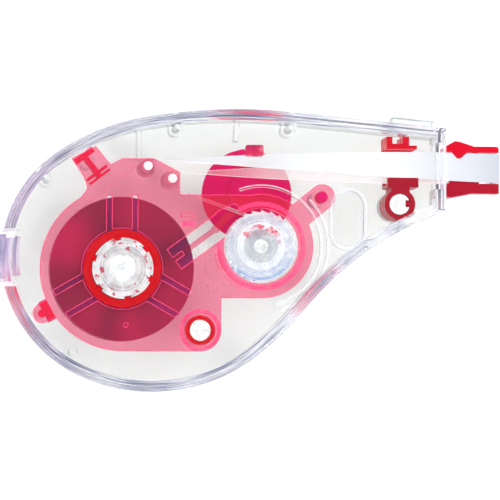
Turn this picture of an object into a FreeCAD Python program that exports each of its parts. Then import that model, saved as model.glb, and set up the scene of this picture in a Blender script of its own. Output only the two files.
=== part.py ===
import FreeCAD, Part
import math
import os
import re

import Sketcher
from fcgear import fcgear, involute

# Correction tape roller, lying on its back.
# Millimetres. X runs to the pressing head, Z from the rear shell up to the front shell.
# The origin is on the resting face, in the middle of the object's length and width.
DIMS = {
    # shells
    "wall": 1.0,
    "floor_top": 1.2,
    "split": 7.4,
    "lid_under": 13.8,
    "lid_top": 15.0,
    "seam": 0.06,
    "lip": 0.8,
    "lip_depth": 1.5,
    "edge_round": 0.7,
    "end_x": 33.4,
    # layers shared by the pieces inside
    "gear_low": 1.5,
    "gear_high": 3.0,
    "dial_low": 3.2,
    "dial_high": 4.0,
    "tape_low": 6.2,
    "tape_high": 11.2,
    "plate_low": 11.6,
    "plate_high": 12.6,
    # heights of what stands on the rear floor
    "supply_post_top": 13.2,
    "takeup_post_top": 12.4,
    "idler_post_top": 3.5,
    "bush_post_top": 13.0,
    "eye_post_top": 12.4,
    "column_top": 8.9,
    "clip_column_top": 8.4,
    "snap_column_top": 5.8,
    "snap_pin_low": 3.2,
    # supply reel
    "supply_x": -22.3,
    "supply_y": -3.45,
    "idler_post": 1.2,
    "supply_post": 2.4,
    "supply_bore": 2.46,
    "core_radius": 6.67,
    "core_inside": 5.34,
    "roll_radius": 12.36,
    "plate_eye": 6.9,
    "knob_radius": 5.2,
    "knob_hole": 5.6,
    # take-up reel
    "takeup_x": 1.55,
    "takeup_y": 0.5,
    "takeup_post": 1.25,
    "takeup_bore": 1.31,
    "film_core": 2.9,
    "film_radius": 4.2,
    "ratchet_root": 5.75,
    "ratchet_radius": 6.2,
    "plate_window": 6.42,
    # dial
    "dial_radius": 7.8,
    "dial_boss": 2.5,
    "dial_hole": 2.57,
    # guide posts, pins and bushes
    "post_radius": 1.1,
    "post_neck": 0.78,
    "pin_fit": 0.02,
    "feed_post_x": -17.9,
    "feed_post_y": 14.17,
    "return_post_x": -13.7,
    "return_post_y": 12.05,
    "bush_x": -8.96,
    "bush_y": -13.96,
    "bush_radius": 2.5,
    "bush_bore": 1.85,
    "arm_pin_x": 12.07,
    "arm_pin_y": 8.96,
    "arm_pin_radius": 0.85,
    "arm_column": 1.5,
    "arm_end": 2.2,
    "proud": 0.4,
    # head
    "eye_x": 25.5,
    "eye_y": 7.8,
    "eye_radius": 2.65,
    "eye_bore": 1.85,
    "head_low": 4.6,
    "head_high": 12.8,
    "head_y": 14.25,
    "rail_low": 7.1,
    "rail_high": 10.3,
    "rail_end": 43.1,
    "roller_x": 42.1,
    "roller_radius": 1.1,
    "roller_bore": 0.5,
    "pin_radius": 0.44,
    "tape_width": 5.0,
    "tape_thick": 0.12,
    "tape_gap": 0.1,
}

# Gear train: one module throughout, teeth cut slightly thin for running clearance.
MODULE = 0.5
TOOTH_SHIFT = -0.12
PRESSURE_ANGLE = 20.0
DRIVE_TEETH = 48
IDLER_TEETH = 16
TAKEUP_TEETH = 18
DIAL_TEETH = 20
DIAL_BEARING = 100.5
RATCHET_TEETH = 24

# Case outline: start height on the end wall, start heading, then (radius, sweep) runs.
# A straight run has no radius and a length instead of a sweep.
OUTLINE_START = 20.9
OUTLINE_HEADING = 174.46
OUTLINE = (
    (None, 27.2),
    (90.6, 15.6),
    (39.6, 24.7),
    (21.33, 82.5),
    (23.6, 38.0),
    (29.5, 62.8),
    (49.5, 12.6),
    (-55.3, 33.0),
)

doc = FreeCAD.newDocument("correction_tape_roller")
UP = FreeCAD.Vector(0, 0, 1)


def vec(x, y, z=0.0):
    return FreeCAD.Vector(x, y, z)


def polar(centre, radius, degrees):
    """Point at a radius and a bearing from a centre."""
    angle = math.radians(degrees)
    return (centre[0] + radius * math.cos(angle), centre[1] + radius * math.sin(angle))


def pitch_radius(teeth):
    return teeth * MODULE / 2


def lower_crossing(first, reach_first, second, reach_second):
    """Lower of the two points at given distances from two centres."""
    span = math.dist(first, second)
    bearing = math.degrees(math.atan2(second[1] - first[1], second[0] - first[0]))
    cosine = (reach_first**2 + span**2 - reach_second**2) / (2 * reach_first * span)
    corner = math.degrees(math.acos(cosine))
    return min(
        (polar(first, reach_first, bearing + side * corner) for side in (-1, 1)),
        key=lambda point: point[1],
    )


SUPPLY = (DIMS["supply_x"], DIMS["supply_y"])
TAKEUP = (DIMS["takeup_x"], DIMS["takeup_y"])
IDLER = lower_crossing(
    SUPPLY,
    pitch_radius(DRIVE_TEETH) + pitch_radius(IDLER_TEETH),
    TAKEUP,
    pitch_radius(IDLER_TEETH) + pitch_radius(TAKEUP_TEETH),
)
DIAL = polar(TAKEUP, pitch_radius(TAKEUP_TEETH) + pitch_radius(DIAL_TEETH), DIAL_BEARING)
DIMS["idler_x"], DIMS["idler_y"] = IDLER
DIMS["dial_x"], DIMS["dial_y"] = DIAL

sheet = doc.addObject("Spreadsheet::Sheet", "dims")
for row, (alias, value) in enumerate(DIMS.items(), start=1):
    sheet.set(f"A{row}", alias)
    sheet.set(f"B{row}", f"{value:.6g}")
    sheet.setAlias(f"B{row}", alias)
doc.recompute()


# ---------------------------------------------------------------- helpers
def cell(expression):
    """Turns the alias words of an expression into references to the sheet."""
    words = re.compile(r"[a-z][a-z_]+")
    return words.sub(lambda word: "dims." + word.group(), str(expression))


def bind(thing, prop, expression):
    thing.setExpression(prop, cell(expression))


def place(thing, x, y, z):
    for axis, expression in zip("xyz", (x, y, z)):
        bind(thing, f"Placement.Base.{axis}", expression)


def cylinder(name, radius, low, high, x, y):
    rod = doc.addObject("Part::Cylinder", name)
    bind(rod, "Radius", radius)
    bind(rod, "Height", f"({high}) - ({low})")
    place(rod, x, y, low)
    return rod


def box(name, low, high):
    """Box between two corners, each given as three expressions."""
    block = doc.addObject("Part::Box", name)
    for prop, start, end in zip(("Length", "Width", "Height"), low, high):
        bind(block, prop, f"({end}) - ({start})")
    place(block, *low)
    return block


def bar(name, start, end, width, low, high):
    """Flat bar between two points of the plan, with square ends."""
    length = math.dist(start, end)
    bearing = math.degrees(math.atan2(end[1] - start[1], end[0] - start[0]))
    corner = polar(start, width / 2, bearing - 90)
    block = doc.addObject("Part::Box", name)
    block.Length = length
    block.Width = width
    bind(block, "Height", f"({high}) - ({low})")
    turn = FreeCAD.Rotation(UP, bearing)
    block.Placement = FreeCAD.Placement(vec(*corner), turn)
    bind(block, "Placement.Base.z", low)
    return block


def fuse(name, things):
    joined = doc.addObject("Part::MultiFuse", name)
    joined.Shapes = things
    joined.Refine = True
    return joined


def cut(name, base, tools):
    """Base less one tool or several."""
    tool = tools[0] if len(tools) == 1 else fuse(name + "_tools", tools)
    rest = doc.addObject("Part::Cut", name)
    rest.Base = base
    rest.Tool = tool
    rest.Refine = True
    return rest


def common(name, first, second):
    shared = doc.addObject("Part::Common", name)
    shared.Base = first
    shared.Tool = second
    return shared


def ring(name, outer, inner, low, high, x, y):
    rim = cylinder(name + "_rim", outer, low, high, x, y)
    eye = cylinder(name + "_eye", inner, f"{low} - 1", f"{high} + 1", x, y)
    return cut(name, rim, [eye])


def ring_arc(name, outer, inner, low, high, centre, start, sweep):
    """Ring between two bearings."""
    segments = []
    for tag, radius, grow in (("rim", outer, 0), ("eye", inner, 1)):
        rod = doc.addObject("Part::Cylinder", f"{name}_{tag}")
        rod.Radius = radius
        rod.Angle = sweep + 4 * grow
        bind(rod, "Height", f"({high}) - ({low}) + {2 * grow}")
        turn = FreeCAD.Rotation(UP, start - 2 * grow)
        rod.Placement = FreeCAD.Placement(vec(*centre), turn)
        bind(rod, "Placement.Base.z", f"({low}) - {grow}")
        segments.append(rod)
    return cut(name, segments[0], segments[1:])


def plan_sketch(body, name, low):
    """Empty sketch in a body's own XY plane, lifted to a height."""
    plane = next(item for item in body.Origin.OriginFeatures if item.Role == "XY_Plane")
    sketch = body.newObject("Sketcher::SketchObject", name)
    sketch.AttachmentSupport = (plane, [""])
    sketch.MapMode = "FlatFace"
    bind(sketch, "AttachmentOffset.Base.z", low)
    return sketch


def pad(body, sketch, low, high):
    extrusion = body.newObject("PartDesign::Pad", sketch.Name + "_pad")
    extrusion.Profile = sketch
    bind(extrusion, "Length", f"({high}) - ({low})")
    return extrusion


def outline_body(name, edges, low, high):
    """Body with one pad of a closed outline."""
    body = doc.addObject("PartDesign::Body", name)
    sketch = plan_sketch(body, name + "_outline", low)
    sketch.addGeometry(edges)
    pad(body, sketch, low, high)
    return body


def polygon_body(name, points, low, high):
    corners = [vec(*point) for point in points]
    edges = [Part.LineSegment(a, b) for a, b in zip(corners, corners[1:] + corners[:1])]
    return outline_body(name, edges, low, high)


def turned_body(name, rings, x, y):
    """Body of stacked rings about its own axis: (outer, bore, low, high) for each."""
    body = doc.addObject("PartDesign::Body", name)
    for number, (outer, bore, low, high) in enumerate(rings):
        sketch = plan_sketch(body, f"{name}_ring_{number}", low)
        for tag, radius in (("outer", outer), ("bore", bore)):
            if radius is None:
                continue
            edge = sketch.addGeometry(Part.Circle(vec(0, 0), UP, 1.0 + (tag == "outer")))
            sketch.addConstraint(Sketcher.Constraint("Coincident", edge, 3, -1, 1))
            size = sketch.addConstraint(
                Sketcher.Constraint("Radius", edge, 1.0 + (tag == "outer"))
            )
            sketch.renameConstraint(size, tag)
            bind(sketch, f"Constraints.{tag}", radius)
        pad(body, sketch, low, high)
    bind(body, "Placement.Base.x", x)
    bind(body, "Placement.Base.y", y)
    return body


def gear(name, teeth, turn, bore, low, high, centre):
    """Involute spur gear with a round bore."""
    builder = fcgear.FCWireBuilder()
    involute.CreateExternalGear(
        builder, MODULE, teeth, PRESSURE_ANGLE, shiftCoeff=TOOTH_SHIFT
    )
    profile = doc.addObject("Part::Feature", name + "_profile")
    profile.Shape = Part.Wire([edge.toShape() for edge in builder.wire])
    profile.Placement = FreeCAD.Placement(vec(*centre), FreeCAD.Rotation(UP, turn))
    bind(profile, "Placement.Base.z", low)
    blank = doc.addObject("Part::Extrusion", name + "_blank")
    blank.Base = profile
    blank.Dir = UP
    blank.Solid = True
    bind(blank, "LengthFwd", f"({high}) - ({low})")
    x, y = (f"{value:.6f}" for value in centre)
    return cut(name + "_toothed", blank, [cylinder(name + "_bore", bore, "0", "9", x, y)])


def meshed_turn(first, first_teeth, first_turn, second, second_teeth):
    """Turn that puts a gap of the second gear on a tooth of the first."""
    bearing = math.degrees(math.atan2(second[1] - first[1], second[0] - first[0]))
    lead = (first_turn - bearing) * first_teeth / second_teeth
    return bearing + 180 + 180 / second_teeth - lead


# ---------------------------------------------------------------- case outline
def case_runs(inset):
    """Outline runs moved inwards: (start, end, centre, signed radius) for each."""
    heading = math.radians(OUTLINE_HEADING)
    inward = (-math.sin(heading), math.cos(heading))
    spot = (DIMS["end_x"] + inset * inward[0], OUTLINE_START + inset * inward[1])
    runs = []
    for radius, amount in OUTLINE:
        if radius is None:
            end = polar(spot, amount, math.degrees(heading))
            runs.append((spot, end, None, None))
        else:
            side = math.copysign(1, radius)
            size = radius - inset
            centre = polar(spot, size, math.degrees(heading) + 90)
            heading += side * math.radians(amount)
            end = polar(centre, size, math.degrees(heading) - 90)
            runs.append((spot, end, centre, size))
        spot = end
    return runs


def on_arc(centre, size, point):
    """Point of an arc's circle nearest to another point."""
    bearing = math.degrees(math.atan2(point[1] - centre[1], point[0] - centre[0]))
    return polar(centre, abs(size), bearing)


def case_edges(inset):
    """Closed outline of the case, moved inwards by the inset."""
    limit = DIMS["end_x"] - inset
    runs = case_runs(inset)
    edges = []
    for start, end, centre, size in runs:
        if centre is None:
            slope = (end[1] - start[1]) / (end[0] - start[0])
            first = (limit, start[1] + slope * (limit - start[0]))
            edges.append(Part.LineSegment(vec(*first), vec(*end)))
            continue
        if end[0] > limit - 2:
            drop = math.sqrt(size**2 - (limit - centre[0]) ** 2)
            end = (limit, centre[1] + drop)
            last = end
        middle = on_arc(centre, size, ((start[0] + end[0]) / 2, (start[1] + end[1]) / 2))
        edges.append(Part.Arc(vec(*start), vec(*middle), vec(*end)))
    edges.append(Part.LineSegment(vec(*last), vec(*first)))
    return edges


def case_solid(name, inset, low, high):
    return outline_body(name, case_edges(inset), low, high)


def case_band(name, outer, inner, low, high):
    """Wall that follows the outline between two insets."""
    body = doc.addObject("PartDesign::Body", name)
    sketch = plan_sketch(body, name + "_band", low)
    sketch.addGeometry(case_edges(outer) + case_edges(inner))
    pad(body, sketch, low, high)
    return body


def rounded_rim(name, low, high, rim):
    """Case solid with its outer edge at the height rim, a number, rounded."""
    body = case_solid(name, 0, low, high)
    doc.recompute()
    edges = [
        f"Edge{number}"
        for number, edge in enumerate(body.Shape.Edges, start=1)
        if all(abs(vertex.Z - rim) < 1e-6 for vertex in edge.Vertexes)
    ]
    block = body.Tip
    fillet = body.newObject("PartDesign::Fillet", name + "_round")
    fillet.Base = (block, edges)
    bind(fillet, "Radius", "edge_round")
    body.Tip = fillet
    return body


nodes = {}


def node(name, thing):
    thing.Label = name
    nodes[name] = thing


# ---------------------------------------------------------------- shells
NOTCH_Y = (-6.6, 3.3)
NOTCH_DEPTH = 2.1
TONGUE_Y = (-5.3, 2.3)
GRIP_Y = (-4.6, 2.0)
MOUTH_Y = (10.4, 18.4)
SNAP_SPOTS = ((-35.0, 12.2), (-12.6, 21.0), (6.9, 21.0), (-30.6, -17.6))
SNAP_PIN = 0.7
SNAP_BORE = 0.78
SNAP_COLUMN = 1.25
STIFFENERS = (((-18.9, 15.8), (-18.9, 20.6)), ((-2.1, 19.0), (-1.9, 22.0)))
RIB_WIDTH = 0.8
BRACKET_X = (-42.0, -39.4)
BRACKET_GAP = 0.6
CLIP_COLUMN = 1.2
CLIP_COLUMN_SPOTS = ((-28.0, 15.1), (-35.6, -10.9))
GUARD_LOW = "12.9"
INNER_GUARD = (10.5, 10.0, -78, 190)
OUTER_GUARD = (11.6, 11.2, -74, 118)
DISH_RIM = 1.4
CORE_RIM = 1.0
DISH_DEPTH = 0.6
LUG_LINE = ((24.2, 21.9), (31.3, 21.2))
LUG_WIDTH = 2.0
FILM_STOP = ((-1.25, 16.8), (1.85, 16.8))
FILM_STOP_WIDTH = 2.0
FILM_STOP_CORNER = 0.4
OVAL = (16.4, 5.1)
OVAL_WIDTH = 6.5
OVAL_LENGTH = 10.8


def at(point):
    return [f"{value:.4f}" for value in point]


def latch_gap(name, low, high):
    """Space cut out of the case's rounded end for the release latch."""
    keep = case_solid(name + "_keep", NOTCH_DEPTH, f"{low} - 1", f"{high} + 1")
    block = box(name + "_block", ("-46", str(NOTCH_Y[0]), low), ("-36", str(NOTCH_Y[1]), high))
    return cut(name, block, [keep])


def mouth(name, low, high):
    return box(name, ("end_x - 3", str(MOUTH_Y[0]), low), ("end_x + 1", str(MOUTH_Y[1]), high))


def stadium(name, centre, width, length, low, high):
    """Upright block with round ends, long in Y."""
    reach = (length - width) / 2
    middle = bar(
        name + "_middle",
        (centre[0], centre[1] - reach),
        (centre[0], centre[1] + reach),
        width,
        low,
        high,
    )
    ends = [
        cylinder(f"{name}_end_{tag}", str(width / 2), low, high, *at((centre[0], y)))
        for tag, y in (("a", centre[1] - reach), ("b", centre[1] + reach))
    ]
    return fuse(name, [middle] + ends)


def rear_post(name, radius, top, axis):
    """Post on the rear floor, on one of the named axes."""
    return cylinder(name, radius, "floor_top", top, axis + "_x", axis + "_y")


def make_rear_shell():
    floor = rounded_rim("rear_floor", "0", "floor_top", 0)
    wall = case_band("rear_wall", 0, DIMS["wall"], "floor_top", "split")
    posts = [
        rear_post("supply_post", "supply_post", "supply_post_top", "supply"),
        rear_post("takeup_post", "takeup_post", "takeup_post_top", "takeup"),
        rear_post("idler_post", "idler_post", "idler_post_top", "idler"),
        rear_post("bush_post", "bush_bore - 0.1", "bush_post_top", "bush"),
        rear_post("eye_post", "eye_bore - 0.1", "eye_post_top", "eye"),
        rear_post("eye_seat", "eye_radius", "head_low", "eye"),
        rear_post("arm_column", "arm_column", "column_top", "arm_pin"),
        rear_post("bush_column", "bush_radius", "column_top", "bush"),
    ]
    seats = [
        cylinder(
            f"clip_column_{tag}", str(CLIP_COLUMN), "floor_top", "clip_column_top", *at(spot)
        )
        for tag, spot in zip(("upper", "lower"), CLIP_COLUMN_SPOTS)
    ]
    columns = [
        cylinder(
            f"snap_column_{tag}", str(SNAP_COLUMN), "floor_top", "snap_column_top", *at(spot)
        )
        for tag, spot in enumerate(SNAP_SPOTS)
    ]
    ribs = [
        bar(f"stiffener_{tag}", start, end, RIB_WIDTH, "floor_top", "snap_column_top")
        for tag, (start, end) in enumerate(STIFFENERS)
    ]
    brackets = [
        bar(
            f"latch_bracket_{tag}",
            (BRACKET_X[0], y),
            (BRACKET_X[1], y),
            RIB_WIDTH,
            "floor_top",
            "snap_column_top",
        )
        for tag, y in (("low", NOTCH_Y[0] - BRACKET_GAP), ("high", NOTCH_Y[1] + BRACKET_GAP))
    ]
    solid = fuse("rear_solid", [floor, wall] + posts + seats + columns + ribs + brackets)
    bores = [
        cylinder(f"snap_bore_{tag}", str(SNAP_BORE), "snap_pin_low - 0.6", "split", *at(spot))
        for tag, spot in enumerate(SNAP_SPOTS)
    ]
    openings = [
        cylinder("dial_opening", "dial_hole", "-1", "2", "dial_x", "dial_y"),
        mouth("rear_mouth", "head_low - 0.2", "split + 1"),
        latch_gap("rear_notch", "-1", "split + 1"),
        box("eye_keyway", ("eye_x + 1", "7.3", "head_low"), ("eye_x + 2", "8.5", "head_high")),
    ]
    node("rear_shell", cut("rear_shell_made", solid, bores + openings))


def film_stop(low, high):
    """Block with rounded corners that keeps the return film beside the feed tape."""
    inset = FILM_STOP_CORNER
    (left, y), (right, _) = FILM_STOP
    half = FILM_STOP_WIDTH / 2 - inset
    corners = [
        cylinder(f"film_stop_corner_{tag}", str(inset), low, high, *at(spot))
        for tag, spot in enumerate(
            (x, y + side) for x in (left + inset, right - inset) for side in (-half, half)
        )
    ]
    wide = bar("film_stop_wide", *FILM_STOP, 2 * half, low, high)
    tall_line = ((left + inset, y), (right - inset, y))
    tall = bar("film_stop_tall", *tall_line, FILM_STOP_WIDTH, low, high)
    return fuse("film_stop_made", [wide, tall] + corners)


def make_front_shell():
    plate = rounded_rim("front_plate", "lid_under", "lid_top", DIMS["lid_top"])
    lip_outside = DIMS["wall"] + 0.08
    wall = case_band("front_wall", 0, lip_outside, "split + seam", "lid_under")
    lip = case_band(
        "front_lip", lip_outside, lip_outside + DIMS["lip"], "split - lip_depth", "lid_under"
    )
    pins = [
        cylinder(f"snap_pin_{tag}", str(SNAP_PIN), "snap_pin_low", "lid_under + 0.2", *at(spot))
        for tag, spot in enumerate(SNAP_SPOTS)
    ]
    lug = bar("grip_lug", *LUG_LINE, LUG_WIDTH, "split + 1.2", "lid_under - 0.4")
    stop = film_stop("12.2", "lid_under + 0.2")
    guards = [
        ring_arc(name, outer, inner, GUARD_LOW, "lid_under + 0.2", TAKEUP, start, sweep)
        for name, (outer, inner, start, sweep) in (
            ("inner_guard", INNER_GUARD),
            ("outer_guard", OUTER_GUARD),
        )
    ]
    boss = stadium("oval_boss", OVAL, OVAL_WIDTH, OVAL_LENGTH, GUARD_LOW, "lid_under + 0.2")
    solid = fuse("front_solid", [plate, wall, lip, lug, stop, boss] + pins + guards)
    openings = [
        cylinder("knob_opening", "knob_hole", "10", "16", "supply_x", "supply_y"),
        stadium(
            "oval_dish",
            OVAL,
            OVAL_WIDTH - DISH_RIM,
            OVAL_LENGTH - DISH_RIM,
            f"lid_top - {DISH_DEPTH}",
            "lid_top + 1",
        ),
        stadium(
            "oval_core", OVAL, OVAL_WIDTH - CORE_RIM, OVAL_LENGTH - CORE_RIM, "12", "lid_under"
        ),
        mouth("front_mouth", "split - lip_depth - 1", "head_high + 0.2"),
        cylinder("eye_room", "eye_radius + 0.3", "4", "head_high + 0.2", "eye_x", "eye_y"),
        latch_gap("front_notch", "split - lip_depth - 1", "lid_top + 1"),
    ]
    node("front_shell", cut("front_shell_made", solid, openings))


def latch_slab(name, outer, inner, span, low, high):
    """Stretch of wall that follows the case's rounded end between two Y values."""
    band = case_band(name + "_band", outer, inner, low, high)
    window = box(name + "_window", ("-46", str(span[0]), "-1"), ("-34", str(span[1]), "20"))
    return common(name, band, window)


def make_release_latch():
    tongue = latch_slab("latch_tongue", -0.45, 0.6, TONGUE_Y, "0.3", "lid_top - 0.5")
    foot = latch_slab("latch_foot", 0.5, 1.85, TONGUE_Y, "0.3", "1.1")
    bridge = latch_slab("latch_bridge", 0.5, 2.2, GRIP_Y, "6.6", "7.6")
    grip = latch_slab("latch_grip", 2.1, 3.1, GRIP_Y, "4.0", "13.0")
    node("release_latch", fuse("release_latch_made", [tongue, foot, bridge, grip]))


# ---------------------------------------------------------------- cartridge plate
PLATE_CORNERS = (
    (-30.0, 8.0),
    (-28.5, 9.9),
    (-28.3, 10.6),
    (-28.9, 12.2),
    (-31.0, 15.4),
    (-26.85, 17.5),
    (-24.3, 14.4),
    (-22.3, 15.45),
    (-16.9, 15.45),
    (-12.4, 13.1),
    (-12.4, 9.3),
    (1.55, 9.3),
    (1.55, -8.45),
    (-5.34, -8.45),
    (-5.34, -13.98),
    (-8.94, -17.58),
    (-22.3, -17.58),
)
PLATE_DISC = 14.1
PLATE_RING = 8.96
PLATE_RIB = ("7.5", "6.95")
BUSH_RIB = ("3.45", "3.05")
STRESS_GROOVE = (8.1, 7.65, 191, 51.5)
PLATE_CORNER_ROUND = 3.6
FINGER_START = (-13.35, -1.8)
FINGER_ROOT = (-11.2, -0.22)
FINGER_BUMP = (-6.3, 3.4)
FINGER_KNEE = (-4.3, 5.6)
FINGER_TIP = (-2.2, 6.0)
FINGER_WIDTH = 0.96
SLOT_END = (-3.1, 6.9)
FINGER_HEAD_END = (-2.3, 6.6)
SLOT_SIDE = 2.0
ARM_WIDTH = 4.4
TAB_END = (-35.9, -11.1)
SPRING_SLOTS = {90: 12.5, 210: 12.1, 330: 12.2}
SPRING_SLOT_OFFSET = 2.2
SPRING_SLOT_WIDTH = 0.85


def spring_slots(low, high):
    """Three pairs of parallel slots that free three tongues around the reel's eye."""
    slots = []
    for bearing, reach in SPRING_SLOTS.items():
        for side in (-1, 1):
            offset = polar(SUPPLY, SPRING_SLOT_OFFSET, bearing + side * 90)
            start = polar(offset, DIMS["plate_eye"] - 0.6, bearing)
            end = polar(offset, reach, bearing)
            name = f"spring_slot_{bearing}_{'left' if side > 0 else 'right'}"
            slots.append(bar(name, start, end, SPRING_SLOT_WIDTH, low, high))
    return slots


def plate_blank():
    low, high = "plate_low", "plate_high"
    arm_pin = (DIMS["arm_pin_x"], DIMS["arm_pin_y"])
    round_spot = (-8.94, -13.98)
    parts = [
        polygon_body("plate_middle", PLATE_CORNERS, low, high),
        cylinder("plate_disc", str(PLATE_DISC), low, high, "supply_x", "supply_y"),
        cylinder("plate_ring", str(PLATE_RING), low, high, "takeup_x", "takeup_y"),
        cylinder("plate_corner", str(PLATE_CORNER_ROUND), low, high, *at(round_spot)),
        bar("plate_arm", TAKEUP, arm_pin, ARM_WIDTH, low, high),
        cylinder("plate_arm_end", "arm_end", low, high, "arm_pin_x", "arm_pin_y"),
        bar("plate_tab", SUPPLY, TAB_END, 3.4, low, high),
        cylinder("plate_tab_end", "1.7", low, high, *at(TAB_END)),
        ring("plate_rib", *PLATE_RIB, "plate_low", "plate_high + 0.9", "takeup_x", "takeup_y"),
        box("mark_upper", ("-12.2", "5.45", low), ("-9.9", "6.05", "plate_high + 0.25")),
        box("mark_lower", ("-11.9", "3.95", low), ("-9.9", "4.65", "plate_high + 0.8")),
        ring("bush_rib", *BUSH_RIB, "plate_low", "plate_high + 0.5", "bush_x", "bush_y"),
        cylinder("plate_pip", "0.35", low, "plate_high + 0.3", "-21.7", "-13.1"),
    ]
    return fuse("plate_blank", parts)


def make_cartridge_plate():
    low, high = "plate_low - 1", "plate_high + 2"
    slot_end = (FINGER_KNEE[0] - 1.6, FINGER_KNEE[1] - 0.1)
    outer, inner, start, sweep = STRESS_GROOVE
    groove_low = "plate_high - 0.6"
    groove = ring_arc("stress_groove", outer, inner, groove_low, high, TAKEUP, start, sweep)
    openings = [
        cylinder("plate_eye_hole", "plate_eye", low, high, "supply_x", "supply_y"),
        cylinder("plate_window_hole", "plate_window", low, high, "takeup_x", "takeup_y"),
        bar("finger_space", FINGER_START, (-4.6, 4.6), 2 * SLOT_SIDE, low, high),
        bar("finger_end_space", slot_end, SLOT_END, 1.5, low, high),
        bar("finger_head_space", FINGER_BUMP, FINGER_HEAD_END, 2.6, low, high),
        cylinder("finger_end_round", "0.75", low, high, *at(SLOT_END)),
        cylinder("feed_hole", "post_neck + pin_fit", low, high, "feed_post_x", "feed_post_y"),
        cylinder(
            "return_hole", "post_neck + pin_fit", low, high, "return_post_x", "return_post_y"
        ),
        cylinder("bush_hole", "bush_radius", low, high, "bush_x", "bush_y"),
        cylinder("arm_pin_hole", "arm_pin_radius", low, high, "arm_pin_x", "arm_pin_y"),
        groove,
    ]
    opened = cut("plate_opened", plate_blank(), openings + spring_slots(low, high))
    stub_end = (FINGER_ROOT[0] - 0.62, FINGER_ROOT[1] - 0.45)
    stub_start = (FINGER_START[0] - 0.4, FINGER_START[1] - 0.3)
    stub = bar("finger_stub", stub_start, stub_end, FINGER_WIDTH, "plate_low", "plate_high")
    node("cartridge_plate", fuse("cartridge_plate_made", [opened, stub]))


def make_ratchet_pawl():
    low, high = "plate_low", "plate_high"
    half = FINGER_WIDTH / 2
    parts = [
        bar("pawl_bar", FINGER_ROOT, FINGER_BUMP, FINGER_WIDTH, low, high),
        cylinder("pawl_root", str(half), low, high, *at(FINGER_ROOT)),
        cylinder("pawl_bump", "0.72", low, high, *at(FINGER_BUMP)),
        bar("pawl_head", FINGER_BUMP, FINGER_KNEE, 1.3, low, high),
        cylinder("pawl_knee", "0.65", low, high, *at(FINGER_KNEE)),
        polygon_body(
            "pawl_tooth",
            (
                (FINGER_KNEE[0] + 0.1, FINGER_KNEE[1] + 0.63),
                (FINGER_KNEE[0] - 0.1, FINGER_KNEE[1] - 0.63),
                FINGER_TIP,
            ),
            low,
            high,
        ),
    ]
    node("ratchet_pawl", fuse("ratchet_pawl_made", parts))


# Clips under the two tabs. The upper clip's bars cross its web, each given as
# (distance from the foot along the bearing, width, half length).
UPPER_CLIP_BEARING = 127
UPPER_CLIP = (-26.55, 13.0)
UPPER_CLIP_BARS = ((-0.8, 0.4, 2.1), (0.0, 0.5, 2.1), (3.7, 1.0, 1.9))
CLIP_BAR = 0.7
CLIP_WEB = 0.9
TAB_BEARING = 29
LOWER_CLIP_REACH = 1.0
LOWER_CLIP_HALF = 1.9
LOWER_CLIP_BAR = 1.4


def make_posts():
    for name, x, y in (
        ("feed_guide_post", "feed_post_x", "feed_post_y"),
        ("return_guide_post", "return_post_x", "return_post_y"),
    ):
        rings = [
            ("post_radius + 0.5", None, "5.2", "5.9"),
            ("post_radius - pin_fit", None, "5.9", "plate_low - 0.1"),
            ("post_neck", None, "plate_low - 0.1", "plate_high + proud"),
        ]
        node(name, turned_body(name + "_turned", rings, x, y))
    bush = [("bush_radius - pin_fit", "bush_bore", "column_top + 0.1", "plate_high + proud")]
    node("locating_bush", turned_body("locating_bush_turned", bush, "bush_x", "bush_y"))
    pin = [
        ("arm_pin_radius + 0.15", None, "column_top + 0.1", "plate_low"),
        ("arm_pin_radius - pin_fit", None, "plate_low", "plate_high + proud"),
    ]
    node("arm_pin", turned_body("arm_pin_turned", pin, "arm_pin_x", "arm_pin_y"))


def make_clips():
    """Red clips under the plate's two tabs."""
    low, high = "clip_column_top + 0.1", "plate_low - pin_fit"
    bars = []
    for tag, (reach, width, half) in enumerate(UPPER_CLIP_BARS):
        middle = polar(UPPER_CLIP, reach, UPPER_CLIP_BEARING)
        first = polar(middle, half, UPPER_CLIP_BEARING - 90)
        second = polar(middle, half, UPPER_CLIP_BEARING + 90)
        bars.append(bar(f"clip_bar_{tag}", first, second, width, low, high))
    start = polar(UPPER_CLIP, UPPER_CLIP_BARS[0][0], UPPER_CLIP_BEARING)
    end = polar(UPPER_CLIP, UPPER_CLIP_BARS[-1][0], UPPER_CLIP_BEARING)
    web = bar("clip_web", start, end, CLIP_WEB, low, high)
    node("upper_clip", fuse("upper_clip_made", bars + [web]))
    middle = polar(TAB_END, LOWER_CLIP_REACH, TAB_BEARING)
    first = polar(middle, LOWER_CLIP_HALF, TAB_BEARING - 90)
    second = polar(middle, LOWER_CLIP_HALF, TAB_BEARING + 90)
    parts = [
        bar("lower_clip_bar", first, second, LOWER_CLIP_BAR, low, high),
        bar("lower_clip_stem", middle, TAB_END, CLIP_BAR, low, high),
        cylinder("lower_clip_nose", str(CLIP_BAR), low, high, *at(TAB_END)),
    ]
    node("lower_clip", fuse("lower_clip_made", parts))


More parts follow.
